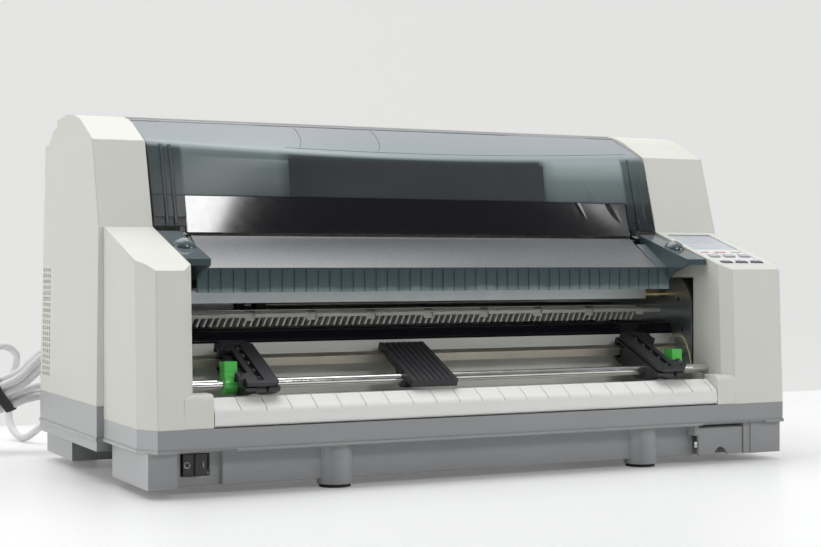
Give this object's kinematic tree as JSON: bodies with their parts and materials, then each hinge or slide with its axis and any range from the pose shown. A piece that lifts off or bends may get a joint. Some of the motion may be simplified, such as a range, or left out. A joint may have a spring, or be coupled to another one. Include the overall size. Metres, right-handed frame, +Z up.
{
  "type": "dot matrix printer",
  "caption": "Wide desktop impact printer, front tractor feed open to view, hinged smoke cover with a paper flap, white shell on a gray base, key panel on the right, tied mains lead",
  "frame": {"origin": "centre of the body's footprint at table height", "axes": "+X to the right as seen from the front, +Y to the back, +Z up, metres"},
  "size_m": [0.6926, 0.4712, 0.293],
  "materials": {
    "grey_plastic": "fine moulded texture, warm mid gray",
    "white_plastic": "fine moulded texture, off-white",
    "rubber": "matt black rubber",
    "zinc_steel": "zinc plated sheet steel",
    "black_gloss": "polished black moulding",
    "chrome": "ground and plated bar",
    "light_grey_plastic": "light gray moulding",
    "dark_metal": "dark coated metal",
    "board_green": "solder resist over glass fibre board",
    "panel_white": "satin label over a moulding",
    "black_plastic": "satin black moulding",
    "smoke_glass": "smoke tinted clear plastic",
    "textured_grey": "gray panel with a fine grain",
    "gear_plastic": "machined acetal",
    "belt_grey": "moulded belt with pins",
    "green_plastic": "bright green moulding",
    "brass": "turned brass",
    "head_aluminium": "cast and finned",
    "pulley_aluminium": "turned",
    "key_dark": "dark gray key",
    "key_light": "light gray key",
    "lead_grey": "smooth light gray sheath"
  },
  "bodies": {
    "body": {"base_tray": "grey_plastic", "rear_casing": "white_plastic", "left_pod": "white_plastic", "right_pod": "white_plastic", "rubber_feet": "rubber", "left_side_frame": "zinc_steel", "right_side_frame": "zinc_steel", "lower_tray": "zinc_steel", "entry_guide": "black_gloss", "tractor_rail": "chrome", "paper_guide": "light_grey_plastic", "cross_plate": "zinc_steel", "carriage_rails": "chrome", "platen_bar": "dark_metal", "drive_motors": "dark_metal", "main_board": "board_green", "power_supply": "zinc_steel", "panel_bezel": "panel_white", "cord_gland": "black_plastic", "port_block": "black_plastic", "timing_belt": "rubber", "mains_lead": "lead_grey", "lead_hank": "lead_grey", "mains_plug": "lead_grey"},
    "cover": {"top_cover": "smoke_glass", "cover_insert": "black_gloss"},
    "flap": {"flap_panel": "textured_grey", "flap_rim": "smoke_glass"},
    "apron": {"apron": "white_plastic"},
    "square_shaft": {"square_shaft": "dark_metal", "shaft_gear": "gear_plastic"},
    "left_tractor": {"left_tractor_body": "black_plastic", "left_tractor_belt": "belt_grey"},
    "left_sprocket": {"left_tractor_sprocket": "gear_plastic"},
    "left_lid": {"left_tractor_lid": "black_plastic"},
    "left_lever": {"left_tractor_lever": "green_plastic"},
    "right_tractor": {"right_tractor_body": "black_plastic", "right_tractor_belt": "belt_grey"},
    "right_sprocket": {"right_tractor_sprocket": "gear_plastic"},
    "right_lid": {"right_tractor_lid": "black_plastic"},
    "right_lever": {"right_tractor_lever": "green_plastic"},
    "centre_guide": {"centre_guide": "black_plastic"},
    "feed_roller": {"feed_roller": "rubber", "roller_gear": "gear_plastic"},
    "idler": {"idler_gear": "gear_plastic"},
    "pinion": {"motor_pinion": "brass"},
    "eject_shaft": {"eject_shaft": "brass"},
    "carriage": {"carriage": "black_plastic", "print_head": "head_aluminium", "ribbon_cartridge": "black_plastic"},
    "motor_pulley": {"motor_pulley": "pulley_aluminium"},
    "idler_pulley": {"idler_pulley": "pulley_aluminium"},
    "key_1": {"key_1": "key_dark"},
    "key_2": {"key_2": "key_dark"},
    "key_3": {"key_3": "key_dark"},
    "key_4": {"key_4": "key_light"},
    "key_5": {"key_5": "key_light"},
    "key_6": {"key_6": "key_light"},
    "rocker": {"power_rocker": "black_gloss"},
    "option_door": {"option_door": "grey_plastic"}
  },
  "joints": [
    {"name": "cover_open", "type": "hinge", "parent": "body", "child": "cover", "pos_m": [0, 0.033, 0.286], "axis": [-1, 0, 0], "range_deg": [0, 75]},
    {"name": "flap_open", "type": "hinge", "parent": "cover", "child": "flap", "pos_m": [0, -0.0465, 0.19], "axis": [-1, 0, 0], "range_deg": [0, 80]},
    {"name": "apron_open", "type": "hinge", "parent": "body", "child": "apron", "pos_m": [0, -0.146, 0.0544], "axis": [1, 0, 0], "range_deg": [0, 85]},
    {"name": "roller_spin", "type": "hinge", "parent": "body", "child": "feed_roller", "pos_m": [0.234, -0.04, 0.105], "axis": [1, 0, 0], "continuous": true},
    {"name": "idler_spin", "type": "hinge", "parent": "body", "child": "idler", "pos_m": [0.234, -0.05804, 0.07979], "axis": [1, 0, 0], "continuous": true},
    {"name": "pinion_spin", "type": "hinge", "parent": "body", "child": "pinion", "pos_m": [0.234, -0.05051, 0.05911], "axis": [1, 0, 0], "continuous": true},
    {"name": "shaft_spin", "type": "hinge", "parent": "body", "child": "square_shaft", "pos_m": [0.234, -0.0817, 0.09476], "axis": [1, 0, 0], "continuous": true},
    {"name": "eject_spin", "type": "hinge", "parent": "body", "child": "eject_shaft", "pos_m": [0, -0.053, 0.1432], "axis": [1, 0, 0], "continuous": true},
    {"name": "left_tractor_slide", "type": "slide", "parent": "body", "child": "left_tractor", "axis": [1, 0, 0], "range_m": [-0.008, 0.085]},
    {"name": "left_sprocket_spin", "type": "hinge", "parent": "left_tractor", "child": "left_sprocket", "pos_m": [-0.195, -0.0817, 0.09476], "axis": [1, 0, 0], "continuous": true},
    {"name": "left_lid_open", "type": "hinge", "parent": "left_tractor", "child": "left_lid", "pos_m": [-0.2102, -0.13202, 0.08531], "axis": [0, -0.9171, -0.3987], "range_deg": [0, 100]},
    {"name": "left_lever_turn", "type": "hinge", "parent": "left_tractor", "child": "left_lever", "pos_m": [-0.2134, -0.118, 0.0794], "axis": [-1, 0, 0], "range_deg": [0, 60]},
    {"name": "right_tractor_slide", "type": "slide", "parent": "body", "child": "right_tractor", "axis": [1, 0, 0], "range_m": [-0.12, 0.008]},
    {"name": "right_sprocket_spin", "type": "hinge", "parent": "right_tractor", "child": "right_sprocket", "pos_m": [0.174, -0.0817, 0.09476], "axis": [1, 0, 0], "continuous": true},
    {"name": "right_lid_open", "type": "hinge", "parent": "right_tractor", "child": "right_lid", "pos_m": [0.1892, -0.13202, 0.08531], "axis": [0, 0.9171, 0.3987], "range_deg": [0, 100]},
    {"name": "right_lever_turn", "type": "hinge", "parent": "right_tractor", "child": "right_lever", "pos_m": [0.1924, -0.118, 0.0794], "axis": [-1, 0, 0], "range_deg": [0, 60]},
    {"name": "centre_guide_slide", "type": "slide", "parent": "body", "child": "centre_guide", "axis": [1, 0, 0], "range_m": [-0.02, 0.06]},
    {"name": "carriage_slide", "type": "slide", "parent": "body", "child": "carriage", "axis": [1, 0, 0], "range_m": [0, 0.35]},
    {"name": "motor_pulley_spin", "type": "hinge", "parent": "body", "child": "motor_pulley", "pos_m": [0.206, 0.055, 0.155], "axis": [0, 0, 1], "continuous": true},
    {"name": "idler_pulley_spin", "type": "hinge", "parent": "body", "child": "idler_pulley", "pos_m": [-0.236, 0.055, 0.155], "axis": [0, 0, 1], "continuous": true},
    {"name": "key_1_press", "type": "slide", "parent": "body", "child": "key_1", "axis": [0, 0.3014, -0.9535], "range_m": [0, 0.0012], "stiffness_N_per_m": 400, "springref_m": -0.0006},
    {"name": "key_2_press", "type": "slide", "parent": "body", "child": "key_2", "axis": [0, 0.3014, -0.9535], "range_m": [0, 0.0012], "stiffness_N_per_m": 400, "springref_m": -0.0006},
    {"name": "key_3_press", "type": "slide", "parent": "body", "child": "key_3", "axis": [0, 0.3014, -0.9535], "range_m": [0, 0.0012], "stiffness_N_per_m": 400, "springref_m": -0.0006},
    {"name": "key_4_press", "type": "slide", "parent": "body", "child": "key_4", "axis": [0, 0.3014, -0.9535], "range_m": [0, 0.0012], "stiffness_N_per_m": 400, "springref_m": -0.0006},
    {"name": "key_5_press", "type": "slide", "parent": "body", "child": "key_5", "axis": [0, 0.3014, -0.9535], "range_m": [0, 0.0012], "stiffness_N_per_m": 400, "springref_m": -0.0006},
    {"name": "key_6_press", "type": "slide", "parent": "body", "child": "key_6", "axis": [0, 0.3014, -0.9535], "range_m": [0, 0.0012], "stiffness_N_per_m": 400, "springref_m": -0.0006},
    {"name": "power_rock", "type": "hinge", "parent": "body", "child": "rocker", "pos_m": [-0.2446, -0.126, 0.0222], "axis": [0, 0, 1], "range_deg": [-7, 7]},
    {"name": "option_door_open", "type": "hinge", "parent": "body", "child": "option_door", "pos_m": [0.2225, -0.142, 0.0288], "axis": [-1, 0, 0], "range_deg": [0, 80]}
  ],
  "couplings": [
    {"joint": "idler_spin", "follows": "roller_spin", "ratio": -0.9375},
    {"joint": "pinion_spin", "follows": "roller_spin", "ratio": 2.5},
    {"joint": "shaft_spin", "follows": "roller_spin", "ratio": 1.25},
    {"joint": "left_sprocket_spin", "follows": "roller_spin", "ratio": 1.25},
    {"joint": "right_sprocket_spin", "follows": "roller_spin", "ratio": 1.25},
    {"joint": "eject_spin", "follows": "roller_spin", "ratio": 1}
  ]
}
